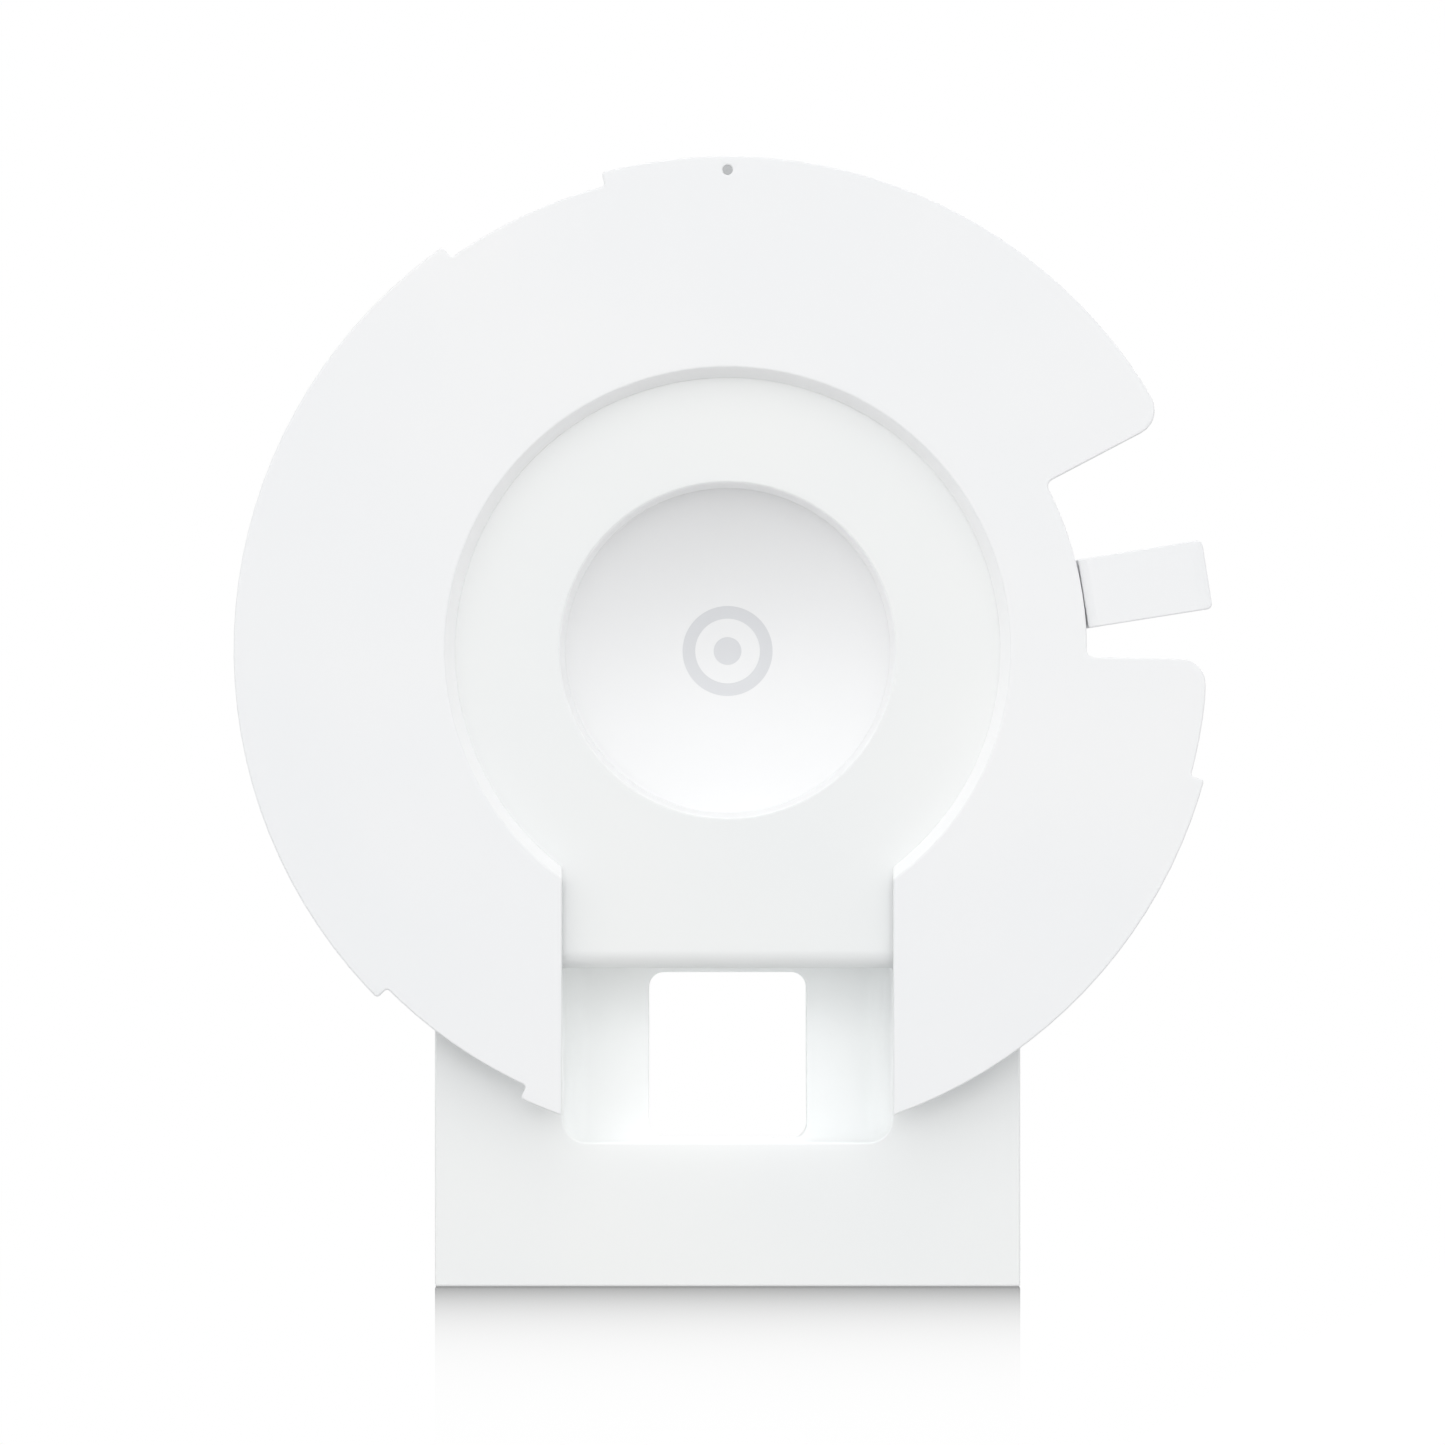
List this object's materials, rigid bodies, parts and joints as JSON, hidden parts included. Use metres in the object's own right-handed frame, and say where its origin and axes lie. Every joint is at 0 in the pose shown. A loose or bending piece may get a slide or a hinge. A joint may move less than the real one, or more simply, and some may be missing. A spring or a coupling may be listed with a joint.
{
  "type": "access point wall arm mount",
  "caption": "L-shaped wall arm with a twist-lock disc, spring lock lever, cable window and wall plate for hanging a round ceiling access point off a wall.",
  "frame": {"origin": "middle of the wall plate's screw pattern, on the wall face", "axes": "+Z away from the wall, -Y the way the disc faces, +Y up when the arm is on a wall, X along the disc's width"},
  "size_m": [0.1337, 0.119, 0.1549],
  "materials": {
    "white_plastic": "fine moulded texture, satin",
    "white_disc_plastic": "fine moulded texture, satin",
    "white_cap_plastic": "smooth satin",
    "grey_ink": "printed dot",
    "galvanised_steel": "zinc plated sheet",
    "bright_steel": "machined, zinc plated",
    "spring_steel": "drawn wire",
    "insert_brass": "machined",
    "grey_rubber": "matt"
  },
  "bodies": {
    "wall_plate": {"wall_plate": "galvanised_steel", "hook_studs": "bright_steel", "lock_nut": "bright_steel"},
    "arm": {"arm_shell": "white_plastic", "arm_core": "galvanised_steel", "core_screws": "bright_steel", "bayonet_plate": "white_disc_plastic", "thread_inserts": "insert_brass", "plate_screws": "bright_steel", "plate_washers": "bright_steel", "centre_cap": "white_cap_plastic", "index_dot": "grey_ink", "lever_pin": "bright_steel", "lever_spring": "spring_steel", "cable_grommet": "grey_rubber", "lock_washer": "bright_steel", "rear_cover": "white_plastic", "cover_screws": "bright_steel"},
    "lever": {"lock_lever": "white_disc_plastic"},
    "screw": {"lock_screw": "bright_steel"}
  },
  "joints": [
    {"name": "arm_lift", "type": "slide", "parent": "wall_plate", "child": "arm", "axis": [0, 1, 0], "range_m": [0, 0.007]},
    {"name": "lever_press", "type": "hinge", "parent": "arm", "child": "lever", "pos_m": [0.04395, -0.06225, 0.09441], "axis": [-0.1564, 0, 0.9877], "range_deg": [0, 8.5], "stiffness_Nm_per_rad": 0.3, "springref_deg": -11.46},
    {"name": "lock_screw_out", "type": "slide", "parent": "arm", "child": "screw", "axis": [0, 1, 0], "range_m": [0, 0.0075]}
  ]
}
